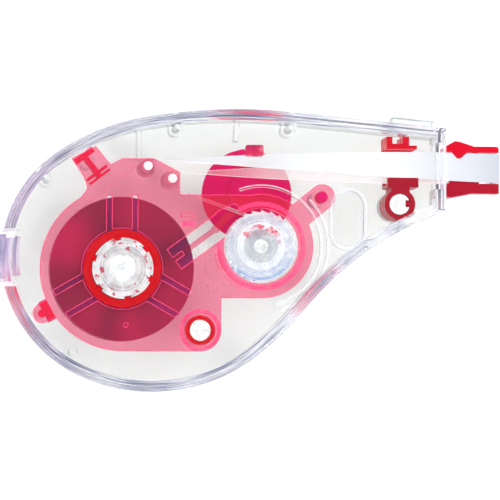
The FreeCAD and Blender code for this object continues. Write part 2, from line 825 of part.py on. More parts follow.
# ---------------------------------------------------------------- reels and gears
# Ring lists are (outer radius, bore, low, high).
SUPPLY_CORE_RINGS = (
    ("core_radius", "supply_bore", "5.45", "6.05"),
    ("core_radius", "core_inside", "6.05", "plate_high + 0.4"),
)
KNOB_RINGS = (
    ("4.2", "supply_bore", "6.15", "11.4"),
    ("knob_radius", "supply_bore", "11.4", "13.3"),
    ("knob_radius", None, "13.3", "14.2"),
    ("knob_radius", "4.1", "14.2", "14.8"),
)
KNOB_CAP_RINGS = (("2.5", "1.7", "14.2", "14.7"),)
KNOB_GRIP_WIDTH = 1.1
KNOB_GRIP_REACH = 4.3
CLUTCH_RINGS = (("8.4", "6.2", "gear_high + 0.05", "4.2"), ("6.6", "6.2", "4.2", "5.4"))
DRIVE_HUB_RINGS = (("4.6", "supply_bore", "gear_high", "5.4"),)
TAKEUP_HUB_RINGS = (
    ("6.0", "takeup_bore", "5.4", "5.9"),
    ("film_core", "takeup_bore", "5.9", "plate_low - 0.1"),
)
TAKEUP_NECK_RINGS = (
    ("1.65", "takeup_bore", "gear_high", "4.15"),
    ("2.2", "takeup_bore", "4.15", "5.35"),
)
TAKEUP_RIM = ("2.6", "takeup_bore", "plate_high", "plate_high + 0.5")
TAKEUP_GROOVE = ("5.4", "4.6", "plate_high - 0.3", "14")
CROWN_TEETH = 14
CROWN_REACH = (3.0, 4.3)
CROWN_WIDTH = 0.5
IDLER_BORE = "1.26"
IDLER_COLLAR_RINGS = (("2.0", IDLER_BORE, "gear_high", "3.4"),)
CORE_KEYS = 6
CORE_KEY_BEARING = 40
CORE_KEY_DEPTH = 0.45
CORE_KEY_WIDTH = 1.0
KEYWAY_DEPTH = 0.55
KEYWAY_WIDTH = 1.2


def make_supply_reel():
    x, y = "supply_x", "supply_y"
    tube = turned_body("core_turned", SUPPLY_CORE_RINGS, x, y)
    keys = []
    for number in range(CORE_KEYS):
        bearing = CORE_KEY_BEARING + number * 360 / CORE_KEYS
        start = polar(SUPPLY, DIMS["core_inside"] - CORE_KEY_DEPTH, bearing)
        end = polar(SUPPLY, DIMS["core_inside"] + CORE_KEY_DEPTH, bearing)
        name = f"core_key_{number}"
        keys.append(bar(name, start, end, CORE_KEY_WIDTH, "6.05", "plate_high + proud"))
    node("supply_core", fuse("supply_core_made", [tube] + keys))
    roll = [("roll_radius", "core_radius + 0.03", "tape_low", "tape_high")]
    node("tape_roll", turned_body("tape_roll_turned", roll, x, y))
    blank = turned_body("knob_turned", KNOB_RINGS, x, y)
    keyways = []
    for number in range(CORE_KEYS):
        bearing = CORE_KEY_BEARING + number * 360 / CORE_KEYS
        start = polar(SUPPLY, DIMS["core_inside"] - KEYWAY_DEPTH, bearing)
        end = polar(SUPPLY, DIMS["core_inside"] + KEYWAY_DEPTH, bearing)
        keyways.append(bar(f"keyway_{number}", start, end, KEYWAY_WIDTH, "6", "15"))
    cap = turned_body("knob_cap_turned", KNOB_CAP_RINGS, x, y)
    start = polar(SUPPLY, KNOB_GRIP_REACH, CORE_KEY_BEARING + 180)
    end = polar(SUPPLY, KNOB_GRIP_REACH, CORE_KEY_BEARING)
    grip = bar("knob_grip", start, end, KNOB_GRIP_WIDTH, "14.2", "14.7")
    whole = fuse("knob_whole", [blank, cap, grip])
    node("slack_knob", cut("slack_knob_made", whole, keyways))
    node("clutch_ring", turned_body("clutch_ring_turned", CLUTCH_RINGS, x, y))
    wheel = gear("drive", DRIVE_TEETH, 0, "supply_bore", "gear_low", "gear_high", SUPPLY)
    sleeve = turned_body("drive_hub_turned", DRIVE_HUB_RINGS, x, y)
    node("drive_gear", fuse("drive_gear_made", [wheel, sleeve]))


def ratchet_body(name, low, high):
    """Saw-toothed disc about the take-up axis; the steep flanks face anticlockwise."""
    points = []
    pitch = 360 / RATCHET_TEETH
    for tooth in range(RATCHET_TEETH):
        points.append(polar(TAKEUP, DIMS["ratchet_root"], tooth * pitch))
        points.append(polar(TAKEUP, DIMS["ratchet_radius"], (tooth + 1) * pitch))
    return polygon_body(name, points, low, high)


def make_takeup_reel(idler_turn):
    x, y = "takeup_x", "takeup_y"
    disc = ratchet_body("ratchet_disc", "plate_low - 0.1", "plate_high")
    hub = turned_body("takeup_hub_turned", TAKEUP_HUB_RINGS, x, y)
    rim = ring("takeup_rim", *TAKEUP_RIM, x, y)
    low, high = "plate_high - 0.3", "plate_high + 0.4"
    crown = []
    for number in range(CROWN_TEETH):
        bearing = number * 360 / CROWN_TEETH
        start = polar(TAKEUP, CROWN_REACH[0], bearing)
        end = polar(TAKEUP, CROWN_REACH[1], bearing)
        crown.append(bar(f"crown_{number}", start, end, CROWN_WIDTH, low, high))
    solid = fuse("takeup_solid", [disc, hub, rim] + crown)
    bore = cylinder("takeup_eye", "takeup_bore", "5", "14", x, y)
    groove = ring("takeup_groove", *TAKEUP_GROOVE, x, y)
    node("takeup_spool", cut("takeup_spool_made", solid, [bore, groove]))
    film = [("film_radius", "film_core + 0.03", "tape_low", "tape_high")]
    node("used_film_roll", turned_body("used_film_turned", film, x, y))
    turn = meshed_turn(IDLER, IDLER_TEETH, idler_turn, TAKEUP, TAKEUP_TEETH)
    wheel = gear(
        "takeup", TAKEUP_TEETH, turn, "takeup_bore", "gear_low", "gear_high", TAKEUP
    )
    neck = turned_body("takeup_neck", TAKEUP_NECK_RINGS, x, y)
    node("takeup_gear", fuse("takeup_gear_made", [wheel, neck]))
    return turn


def make_idler():
    turn = meshed_turn(SUPPLY, DRIVE_TEETH, 0, IDLER, IDLER_TEETH)
    wheel = gear("idler", IDLER_TEETH, turn, IDLER_BORE, "gear_low", "gear_high", IDLER)
    collar = turned_body("idler_collar", IDLER_COLLAR_RINGS, *at(IDLER))
    node("idler_gear", fuse("idler_gear_made", [wheel, collar]))
    return turn


DIAL_LUG_LINE = ((0.0, 15.6), (0.0, 17.8))
DIAL_LUG_WIDTH = 3.3
DIAL_LUG_TOP = "5.1"
DIAL_RINGS = (
    ("dial_boss", None, "0.1", "gear_low"),
    ("4.2", None, "gear_low", "dial_low"),
    ("dial_radius", None, "dial_low", "dial_high"),
    ("3.2", None, "dial_high", "4.8"),
)
DIAL_DISH = ("7.0", "3.9", "dial_high - 0.3", "dial_high + 1")
COIN_SLOT_BEARING = 20
COIN_SLOT_REACH = 2.0
COIN_SLOT_WIDTH = 0.9


def make_rewind_dial(takeup_turn):
    x, y = "dial_x", "dial_y"
    turn = meshed_turn(TAKEUP, TAKEUP_TEETH, takeup_turn, DIAL, DIAL_TEETH)
    wheel = gear("dial", DIAL_TEETH, turn, "1.0", "gear_low", "gear_high", DIAL)
    disc = turned_body("dial_turned", DIAL_RINGS, x, y)
    block = bar("dial_lug_block", *DIAL_LUG_LINE, DIAL_LUG_WIDTH, "dial_low + 0.1", DIAL_LUG_TOP)
    room = cylinder("dial_lug_room", "dial_radius", "dial_low", "6", "dial_x", "dial_y")
    lug = common("dial_lug", block, room)
    solid = fuse("dial_solid", [wheel, disc, lug])
    start = polar(DIAL, COIN_SLOT_REACH, COIN_SLOT_BEARING)
    end = polar(DIAL, COIN_SLOT_REACH, COIN_SLOT_BEARING + 180)
    slot = bar("coin_slot", start, end, COIN_SLOT_WIDTH, "-1", "1.0")
    dish = ring("dial_dish", *DIAL_DISH, x, y)
    node("rewind_dial", cut("rewind_dial_made", solid, [slot, dish]))


# ---------------------------------------------------------------- pressing head
TOP_GUARD = ((33.5, 16.95), (38.4, 16.95), (38.4, 18.0), (36.2, 18.7), (35.3, 18.85), (33.5, 17.8))
BOTTOM_GUARD = ((33.5, 11.55), (33.5, 10.0), (33.8, 9.14), (34.8, 9.14), (38.4, 9.84), (38.4, 11.55))
NIB = ((34.7, 17.4), (37.5, 17.4), (37.5, 16.95), (36.3, 15.85), (35.7, 15.85), (34.7, 16.95))
RAIL_ROUND = 0.5
HEAD_BLOCKS = (
    ("block_low", ("23.4", "10.7", "head_low"), ("28.7", "11.3", "head_high")),
    ("block_lip", ("23.4", "10.7", "11.3"), ("28.7", "12.35", "head_high")),
    ("block_neck", ("24.0", "9.6", "head_low"), ("27.2", "10.8", "head_high")),
    ("bridge", ("23.4", "10.7", "head_low"), ("28.4", "17.9", "5.9")),
    ("lug", ("23.2", "17.3", "head_low"), ("27.1", "19.4", "head_high")),
    ("ledge", ("27.0", "17.3", "head_low"), ("28.45", "17.9", "head_high")),
    ("tongue", ("28.3", "11.9", "5.0"), ("34.5", "16.8", "6.0")),
    ("tip_floor", ("33.5", "11.4", "5.0"), ("36.5", "17.1", "6.0")),
    ("top_rail", ("38.3", "16.95", "rail_low"), ("rail_end - 0.5", "18.0", "rail_high")),
    ("rail_nose", ("40.0", "16.95", "rail_low"), ("rail_end", "17.5", "rail_high")),
    ("bottom_rail", ("38.3", "9.84", "rail_low"), ("rail_end", "11.55", "rail_high")),
    ("web", ("34.6", "11.4", "8.3"), ("39.8", "17.1", "9.1")),
)


def make_head_frame():
    blocks = [box(*block) for block in HEAD_BLOCKS] + [
        polygon_body("top_guard", TOP_GUARD, "5.0", "11.6"),
        polygon_body("bottom_guard", BOTTOM_GUARD, "5.0", "11.6"),
        polygon_body("nib", NIB, "10.9", "11.6"),
        cylinder("eye_rim", "eye_radius", "head_low", "head_high", "eye_x", "eye_y"),
        cylinder(
            "rail_corner",
            str(RAIL_ROUND),
            "rail_low",
            "rail_high",
            "rail_end - 0.5",
            "17.5",
        ),
    ]
    solid = fuse("head_solid", blocks)
    pin_hole = doc.addObject("Part::Cylinder", "pin_hole")
    bind(pin_hole, "Radius", "pin_radius + 0.02")
    pin_hole.Height = 12
    pin_hole.Placement = FreeCAD.Placement(
        vec(DIMS["roller_x"], 8.0, tape_middle()), FreeCAD.Rotation(vec(1, 0, 0), -90)
    )
    openings = [
        box("lug_notch", ("24.2", "18.2", "0"), ("26.0", "20", "20")),
        cylinder("eye_hole", "eye_bore", "0", "20", "eye_x", "eye_y"),
        pin_hole,
    ]
    framed = cut("head_open", solid, openings)
    low, high = ("eye_x + 1.1", "7.4", "head_low + 0.1"), ("eye_x + 2.2", "8.4", "head_high - 0.6")
    node("head_frame", fuse("head_frame_made", [framed, box("eye_key", low, high)]))


def tape_middle():
    return (DIMS["tape_low"] + DIMS["tape_high"]) / 2


def make_roller():
    """Press roller and its pin, both along Y."""
    length = DIMS["tape_width"] - 0.1
    start = DIMS["head_y"] - length / 2
    turn = FreeCAD.Rotation(vec(1, 0, 0), -90)
    pieces = {}
    for name, radius, first, reach in (
        ("roller_pin_made", "pin_radius", 10.1, 7.6),
        ("roller_rim", "roller_radius", start, length),
        ("roller_hole", "roller_bore", start - 1, length + 2),
    ):
        rod = doc.addObject("Part::Cylinder", name)
        bind(rod, "Radius", radius)
        rod.Height = reach
        rod.Placement = FreeCAD.Placement(vec(DIMS["roller_x"], first, tape_middle()), turn)
        pieces[name] = rod
    node("roller_pin", pieces["roller_pin_made"])
    node(
        "press_roller", cut("press_roller_made", pieces["roller_rim"], [pieces["roller_hole"]])
    )


# ---------------------------------------------------------------- tape and film
TWIST_STEPS = 12
RUN_OFFSET = DIMS["roller_radius"] + DIMS["tape_gap"] + DIMS["tape_thick"] / 2
POST_REACH = DIMS["post_radius"] + DIMS["tape_gap"] + DIMS["tape_thick"] / 2


def crossing_heading(first, first_reach, second, second_reach):
    """Heading of the straight run from one circle to the next.

    A reach is positive when the run keeps the centre on its right-hand side.
    """
    bearing = math.degrees(math.atan2(second[1] - first[1], second[0] - first[0]))
    span = math.dist(first, second)
    return bearing - math.degrees(math.asin((first_reach - second_reach) / span))


def twisted_run(start_x, start_y, side):
    """Ribbon that turns from edge-on at its start to flat at the roller."""
    sections = []
    end = (DIMS["roller_x"], DIMS["head_y"])
    for step in range(TWIST_STEPS + 1):
        share = step / TWIST_STEPS
        turn = math.radians(90 * share)
        x = start_x + share * (end[0] - start_x)
        y = start_y + share * (end[1] - start_y)
        normal = vec(0, math.cos(turn), math.sin(turn))
        across = vec(0, -math.sin(turn), math.cos(turn))
        middle = vec(x, y, tape_middle()) + normal * (side * RUN_OFFSET)
        wide = across * (DIMS["tape_width"] / 2)
        thick = normal * (DIMS["tape_thick"] / 2)
        corners = [
            middle + wide + thick,
            middle + wide - thick,
            middle - wide - thick,
            middle - wide + thick,
        ]
        sections.append(Part.makePolygon(corners + corners[:1]))
    return Part.makeLoft(sections, True, True)


def roller_wrap():
    """Half turn of ribbon over the roller's far side."""
    near = RUN_OFFSET - DIMS["tape_thick"] / 2
    far = near + DIMS["tape_thick"]
    half_width = DIMS["tape_width"] / 2
    axis = vec(DIMS["roller_x"], DIMS["head_y"], tape_middle())
    corners = [
        axis + vec(0, side * half_width, reach)
        for side, reach in ((-1, near), (1, near), (1, far), (-1, far))
    ]
    section = Part.Face(Part.makePolygon(corners + corners[:1]))
    return section.revolve(axis, vec(0, 1, 0), 180)


def edge_on_run(path):
    """Upright ribbon along a path of the plan."""
    wire = Part.Wire(path)
    thick = DIMS["tape_thick"] / 2
    start = path[0].valueAt(path[0].FirstParameter)
    along = path[0].tangentAt(path[0].FirstParameter)
    across = vec(-along.y, along.x) * thick
    low = UP * DIMS["tape_low"]
    high = UP * DIMS["tape_high"]
    corners = [
        start + across + low,
        start + across + high,
        start - across + high,
        start - across + low,
    ]
    section = Part.makePolygon(corners + corners[:1])
    return wire.makePipeShell([section], True, False)


def arc_edge(centre, radius, start, end):
    points = [polar(centre, radius, bearing) for bearing in (start, (start + end) / 2, end)]
    return Part.Arc(*(vec(*point) for point in points)).toShape()


def line_edge(start, end):
    return Part.LineSegment(vec(*start), vec(*end)).toShape()


def make_feed_tape():
    """White tape: off the roll, over its guide post, then turning flat towards the roller."""
    post = (DIMS["feed_post_x"], DIMS["feed_post_y"])
    roll_reach = DIMS["roll_radius"] + 0.15 + DIMS["tape_thick"] / 2
    heading = crossing_heading(SUPPLY, roll_reach, post, POST_REACH)
    leave = polar(SUPPLY, roll_reach, heading + 90)
    meet = polar(post, POST_REACH, heading + 90)
    straight = edge_on_run([line_edge(leave, meet), arc_edge(post, POST_REACH, heading + 90, 90)])
    run = twisted_run(post[0], post[1] + POST_REACH - RUN_OFFSET, 1)
    tape = doc.addObject("Part::Feature", "feed_tape_made")
    tape.Shape = straight.fuse(run).fuse(roller_wrap()).removeSplitter()
    node("feed_tape", tape)


def make_return_film():
    """Bare film: back from the roller, round its guide post and on to the take-up reel."""
    post = (DIMS["return_post_x"], DIMS["return_post_y"])
    film_reach = DIMS["film_radius"] + 0.15 + DIMS["tape_thick"] / 2
    heading = crossing_heading(post, -POST_REACH, TAKEUP, film_reach)
    leave = polar(post, POST_REACH, heading - 90)
    land = polar(TAKEUP, film_reach, heading + 90)
    turn = arc_edge(post, POST_REACH, 90, heading + 270)
    straight = edge_on_run([turn, line_edge(leave, land)])
    run = twisted_run(post[0], post[1] + POST_REACH + RUN_OFFSET, -1)
    film = doc.addObject("Part::Feature", "return_film_made")
    film.Shape = straight.fuse(run).removeSplitter()
    node("return_film", film)


# ---------------------------------------------------------------- build and write
make_rear_shell()
make_front_shell()
make_release_latch()
make_cartridge_plate()
make_ratchet_pawl()
make_posts()
make_clips()
make_supply_reel()
make_rewind_dial(make_takeup_reel(make_idler()))
make_head_frame()
make_roller()
make_feed_tape()
make_return_film()
doc.recompute()

failed = [
    item.Name for item in doc.Objects if {"Invalid", "Error"} & set(item.State)
]
for name, item in nodes.items():
    shape = item.Shape
    if shape.isNull() or not shape.isValid() or len(shape.Solids) != 1:
        failed.append(f"{name}: {len(shape.Solids)} solids")
if failed:
    raise RuntimeError("failed: " + ", ".join(failed))

os.makedirs("parts", exist_ok=True)
for name, item in nodes.items():
    item.Shape.exportStep(f"parts/{name}.step")
    print(f"{name}: {item.Shape.Volume:.2f} mm3")
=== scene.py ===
import math

import bmesh
import bpy
from mathutils import Matrix, Vector


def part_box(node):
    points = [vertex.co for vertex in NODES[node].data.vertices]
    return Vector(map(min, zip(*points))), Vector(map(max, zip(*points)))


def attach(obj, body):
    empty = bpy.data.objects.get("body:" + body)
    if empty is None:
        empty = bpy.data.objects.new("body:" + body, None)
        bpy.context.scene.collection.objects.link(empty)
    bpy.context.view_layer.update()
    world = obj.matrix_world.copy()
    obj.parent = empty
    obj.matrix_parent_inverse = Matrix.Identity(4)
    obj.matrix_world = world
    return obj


MM = 0.001

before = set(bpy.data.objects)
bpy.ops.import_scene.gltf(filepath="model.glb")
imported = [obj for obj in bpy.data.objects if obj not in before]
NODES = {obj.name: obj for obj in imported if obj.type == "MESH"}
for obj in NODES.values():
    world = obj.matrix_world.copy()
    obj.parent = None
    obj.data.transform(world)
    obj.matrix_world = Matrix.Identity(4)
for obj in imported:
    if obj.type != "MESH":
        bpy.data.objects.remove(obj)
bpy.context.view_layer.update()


# ---------------------------------------------------------------- frame positions
def middle(node):
    """Middle of a CAD node's box, in metres."""
    low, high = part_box(node)
    return (Vector(low) + Vector(high)) / 2


SUPPLY = middle("tape_roll")
TAKEUP = middle("used_film_roll")
DIAL = middle("rewind_dial")

ACROSS = "across_wall"
STREAK_LENGTHS = 110.0
STREAK_LINES = 5.0
MAUVE_END = (-0.038, -0.026)
MAUVE_COVER = 0.55
THINNING = (0.0, 0.025)
THINNEST = 0.45
ROSE_REACH = (0.004, 0.0075)

CLEAR_INDEX = 1.49
PLATE_INDEX = 1.3
OPAQUE_INDEX = 1.5
FROST_COLOUR = (0.84, 0.85, 0.84)
CHALK_COLOUR = (1.0, 1.0, 1.0)


# ---------------------------------------------------------------- node helpers
def new_material(name):
    material = bpy.data.materials.new(name)
    material.use_nodes = True
    tree = material.node_tree
    tree.nodes.clear()
    output = tree.nodes.new("ShaderNodeOutputMaterial")
    shader = tree.nodes.new("ShaderNodeBsdfPrincipled")
    tree.links.new(shader.outputs["BSDF"], output.inputs["Surface"])
    return material, tree, shader


def object_coordinates(tree):
    return tree.nodes.new("ShaderNodeTexCoord").outputs["Object"]


def noise(tree, vector, scale, detail=2.0, roughness=0.5):
    node = tree.nodes.new("ShaderNodeTexNoise")
    node.inputs["Scale"].default_value = scale
    node.inputs["Detail"].default_value = detail
    node.inputs["Roughness"].default_value = roughness
    tree.links.new(vector, node.inputs["Vector"])
    return node.outputs["Fac"]


def line_noise(tree, value, scale, detail=3.0, roughness=0.7):
    """Noise along a single number, such as a distance from an axis."""
    node = tree.nodes.new("ShaderNodeTexNoise")
    node.noise_dimensions = "1D"
    node.inputs["Scale"].default_value = scale
    node.inputs["Detail"].default_value = detail
    node.inputs["Roughness"].default_value = roughness
    tree.links.new(value, node.inputs["W"])
    return node.outputs["Fac"]


def remap(tree, value, low, high, start=0.0, end=1.0):
    node = tree.nodes.new("ShaderNodeMapRange")
    node.inputs["From Min"].default_value = start
    node.inputs["From Max"].default_value = end
    node.inputs["To Min"].default_value = low
    node.inputs["To Max"].default_value = high
    tree.links.new(value, node.inputs["Value"])
    return node.outputs["Result"]


def math_node(tree, operation, first, second):
    node = tree.nodes.new("ShaderNodeMath")
    node.operation = operation
    for socket, value in zip(node.inputs, (first, second)):
        if isinstance(value, (int, float)):
            socket.default_value = value
        else:
            tree.links.new(value, socket)
    return node.outputs[0]


def within(tree, value, low, high):
    above = math_node(tree, "GREATER_THAN", value, low)
    return math_node(tree, "MULTIPLY", above, math_node(tree, "LESS_THAN", value, high))


def vector_math(tree, operation, first, second=None):
    node = tree.nodes.new("ShaderNodeVectorMath")
    node.operation = operation
    tree.links.new(first, node.inputs[0])
    if second is not None:
        node.inputs[1].default_value = second
    return node


def mix_colour(tree, factor, first, second):
    """Blend of two colours, each given as numbers or as another node's output."""
    node = tree.nodes.new("ShaderNodeMix")
    node.data_type = "RGBA"
    tree.links.new(factor, node.inputs["Factor"])
    for socket, colour in zip((6, 7), (first, second)):
        if isinstance(colour, tuple):
            node.inputs[socket].default_value = (*colour, 1.0)
        else:
            tree.links.new(colour, node.inputs[socket])
    return node.outputs[2]


def position_parts(tree):
    parts = tree.nodes.new("ShaderNodeSeparateXYZ")
    tree.links.new(object_coordinates(tree), parts.inputs[0])
    return parts.outputs


def levelness(tree):
    """Upward part of the surface normal: 1 on tops, 0 on sides, -1 underneath."""
    parts = tree.nodes.new("ShaderNodeSeparateXYZ")
    geometry = tree.nodes.new("ShaderNodeNewGeometry")
    tree.links.new(geometry.outputs["Normal"], parts.inputs[0])
    return parts.outputs["Z"]


def bump(tree, shader, height, strength, distance):
    node = tree.nodes.new("ShaderNodeBump")
    node.inputs["Strength"].default_value = strength
    node.inputs["Distance"].default_value = distance
    tree.links.new(height, node.inputs["Height"])
    tree.links.new(node.outputs["Normal"], shader.inputs["Normal"])


def round_axis(tree, centre):
    """Offset from an upright axis, level with the point, and its length."""
    offset = vector_math(
        tree, "SUBTRACT", object_coordinates(tree), (centre.x, centre.y, 0)
    )
    flat = vector_math(tree, "MULTIPLY", offset.outputs[0], (1, 1, 0))
    length = vector_math(tree, "LENGTH", flat.outputs[0])
    return flat.outputs[0], length.outputs["Value"]


# ---------------------------------------------------------------- materials
def clear_plastic(name, tint, side, roughness, index=CLEAR_INDEX, clearness=1.0):
    """Clear polished moulding: own tint on its tops, painted shade and reflection on its sides,
    faint waviness and fine scuffs.
    """
    material, tree, shader = new_material(name)
    shader.inputs["Transmission Weight"].default_value = clearness
    shader.inputs["IOR"].default_value = index
    coordinates = object_coordinates(tree)
    speckle = noise(tree, coordinates, 900.0, 3.0)
    deeper = tuple(channel * 0.985 for channel in tint)
    level = math_node(tree, "ABSOLUTE", levelness(tree), 0.0)
    flat = mix_colour(tree, speckle, tint, deeper)
    # Sideways faces take the side colour: painted shade and reflection along the rims.
    tree.links.new(
        mix_colour(tree, remap(tree, level, 0.0, 1.0, 0.1, 0.5), side, flat),
        shader.inputs["Base Color"],
    )
    scuff = noise(tree, coordinates, 260.0, 4.0)
    tree.links.new(
        remap(tree, scuff, roughness * 0.6, roughness * 1.6, 0.3, 0.7),
        shader.inputs["Roughness"],
    )
    bump(tree, shader, noise(tree, coordinates, 90.0, 1.0), 0.02, 0.0002)
    return material


def frost_tops(material, windows):
    """Frosts a moulding's tops inside windows of (lowest Z, highest Z, farthest X)."""
    tree = material.node_tree
    shader = tree.nodes["Principled BSDF"]
    place = position_parts(tree)
    spots = None
    for low, high, far in windows:
        window = within(tree, place["Z"], low, high)
        window = math_node(
            tree, "MULTIPLY", window, math_node(tree, "LESS_THAN", place["X"], far)
        )
        spots = window if spots is None else math_node(tree, "MAXIMUM", spots, window)
    top = remap(tree, levelness(tree), 0.0, 1.0, 0.6, 0.8)
    mask = math_node(tree, "MULTIPLY", top, spots)
    cloud = noise(tree, object_coordinates(tree), 1100.0, 3.0)
    weight = math_node(tree, "MULTIPLY", mask, remap(tree, cloud, 0.25, 1.0, 0.35, 0.6))
    tree.links.new(remap(tree, weight, 1.0, 0.2), shader.inputs["Transmission Weight"])
    plain = shader.inputs["Base Color"].links[0].from_socket
    tree.links.new(
        mix_colour(tree, mask, plain, FROST_COLOUR), shader.inputs["Base Color"]
    )


def turned_clear(name, centre, light, shade, clearness, pitch):
    """Clear turned moulding: broken rings about its upright axis."""
    material, tree, shader = new_material(name)
    shader.inputs["Transmission Weight"].default_value = clearness
    shader.inputs["IOR"].default_value = CLEAR_INDEX
    _, distance = round_axis(tree, centre)
    rings = line_noise(tree, distance, 1.0 / pitch, 3.0, 0.7)
    breaks = noise(tree, object_coordinates(tree), 700.0, 3.0, 0.6)
    broken = math_node(tree, "MULTIPLY", rings, breaks)
    banded = remap(tree, broken, 0.0, 1.0, 0.19, 0.34)
    tree.links.new(mix_colour(tree, banded, light, shade), shader.inputs["Base Color"])
    tree.links.new(remap(tree, rings, 0.05, 0.2), shader.inputs["Roughness"])
    bump(tree, shader, broken, 0.5, 0.00015)
    return material


def painted_reflection_flecks(material, centre, colour, inner, outer, share, scale, facing=None):
    """Painted reflections of nearby parts: small broken marks of another colour in a ring, all
    round or on one side.
    """
    tree = material.node_tree
    shader = tree.nodes["Principled BSDF"]
    flat, distance = round_axis(tree, centre)
    mask = within(tree, distance, inner, outer)
    grain = noise(tree, object_coordinates(tree), scale, 2.0, 0.6)
    marks = remap(tree, grain, 0.0, 1.0, share, share + 0.05)
    mask = math_node(tree, "MULTIPLY", mask, marks)
    if facing is not None:
        bearing = vector_math(tree, "NORMALIZE", flat).outputs[0]
        side = vector_math(tree, "DOT_PRODUCT", bearing, facing).outputs["Value"]
        mask = math_node(tree, "MULTIPLY", mask, remap(tree, side, 0.0, 1.0, 0.1, 0.6))
    plain = shader.inputs["Base Color"].links[0].from_socket
    tree.links.new(mix_colour(tree, mask, plain, colour), shader.inputs["Base Color"])


def glossy_plastic(name, colour, shade, roughness=0.28, specular=0.5):
    """Opaque moulded plastic with slight colour drift and a fine texture."""
    material, tree, shader = new_material(name)
    coordinates = object_coordinates(tree)
    drift = noise(tree, coordinates, 120.0, 2.0)
    tree.links.new(mix_colour(tree, drift, colour, shade), shader.inputs["Base Color"])
    grain = noise(tree, coordinates, 500.0, 3.0)
    tree.links.new(
        remap(tree, grain, roughness * 0.8, roughness * 1.25, 0.3, 0.7),
        shader.inputs["Roughness"],
    )
    bump(tree, shader, grain, 0.02, 0.00003)
    shader.inputs["Specular IOR Level"].default_value = specular
    shader.inputs["IOR"].default_value = OPAQUE_INDEX
    return material


def painted_shade_across(material, low, high, dark, bright):
    """Paints shade on a plastic: its colour runs from dark to bright between two distances in Y.
    """
    tree = material.node_tree
    shader = tree.nodes["Principled BSDF"]
    share = remap(tree, position_parts(tree)["Y"], 0.0, 1.0, low, high)
    grain = remap(tree, noise(tree, object_coordinates(tree), 300.0, 2.0), -0.08, 0.08)
    share = math_node(tree, "ADD", share, grain)
    tree.links.new(mix_colour(tree, share, dark, bright), shader.inputs["Base Color"])


def wound_edges_and_sheen(name, centre, dark, light, pitch, roughness=0.35):
    """Edges of closely wound tape: faint rings, with a painted sheen that drifts slowly round the
    reel.
    """
    material, tree, shader = new_material(name)
    flat, distance = round_axis(tree, centre)
    rings = line_noise(tree, distance, 1.0 / pitch, 4.0, 0.75)
    # Painted sheen: lighter and darker wedges round the reel, from noise on the bearing.
    bearing = vector_math(tree, "NORMALIZE", flat).outputs[0]
    drift = noise(tree, bearing, 0.9, 1.0)
    weight = math_node(
        tree,
        "ADD",
        remap(tree, rings, 0.0, 0.35, 0.3, 0.7),
        remap(tree, drift, -0.2, 0.85, 0.35, 0.65),
    )
    tree.links.new(mix_colour(tree, weight, dark, light), shader.inputs["Base Color"])
    shader.inputs["Roughness"].default_value = roughness
    bump(tree, shader, rings, 0.15, 0.00003)
    return material


def coated_tape(name, inside, shaded_end, x_start, x_end):
    """Chalky white coating with painted shade: it greys slightly towards the exposed end, where it
    bends round the roller.
    """
    material, tree, shader = new_material(name)
    coordinates = object_coordinates(tree)
    along = remap(tree, position_parts(tree)["X"], 0.0, 1.0, x_start, x_end)
    chalk = noise(tree, coordinates, 2500.0, 4.0)
    # Painted shade towards the exposed end.
    base = mix_colour(tree, along, inside, shaded_end)
    tree.links.new(
        mix_colour(tree, remap(tree, chalk, 0.0, 0.12), base, CHALK_COLOUR),
        shader.inputs["Base Color"],
    )
    tree.links.new(remap(tree, chalk, 0.5, 0.65), shader.inputs["Roughness"])
    bump(tree, shader, chalk, 0.05, 0.00002)
    return material


def thin_film(name, colour, shade, upright, flat):
    """Thin carrier film with lengthwise streaks, fainter where it stands on edge."""
    material, tree, shader = new_material(name)
    streaks = line_noise(tree, position_parts(tree)["Y"], 4000.0)
    tree.links.new(mix_colour(tree, streaks, colour, shade), shader.inputs["Base Color"])
    shader.inputs["Roughness"].default_value = 0.25
    level = math_node(tree, "ABSOLUTE", levelness(tree), 0.0)
    tree.links.new(
        remap(tree, level, upright, flat, 0.2, 0.8), shader.inputs["Alpha"]
    )
    return material


def near_spots(tree, spots, inner, outer):
    """1 within the inner distance of any of the spots, 0 beyond the outer one."""
    nearest = None
    for spot in spots:
        _, distance = round_axis(tree, spot)
        nearest = distance if nearest is None else math_node(tree, "MINIMUM", nearest, distance)
    return remap(tree, nearest, 1.0, 0.0, inner, outer)


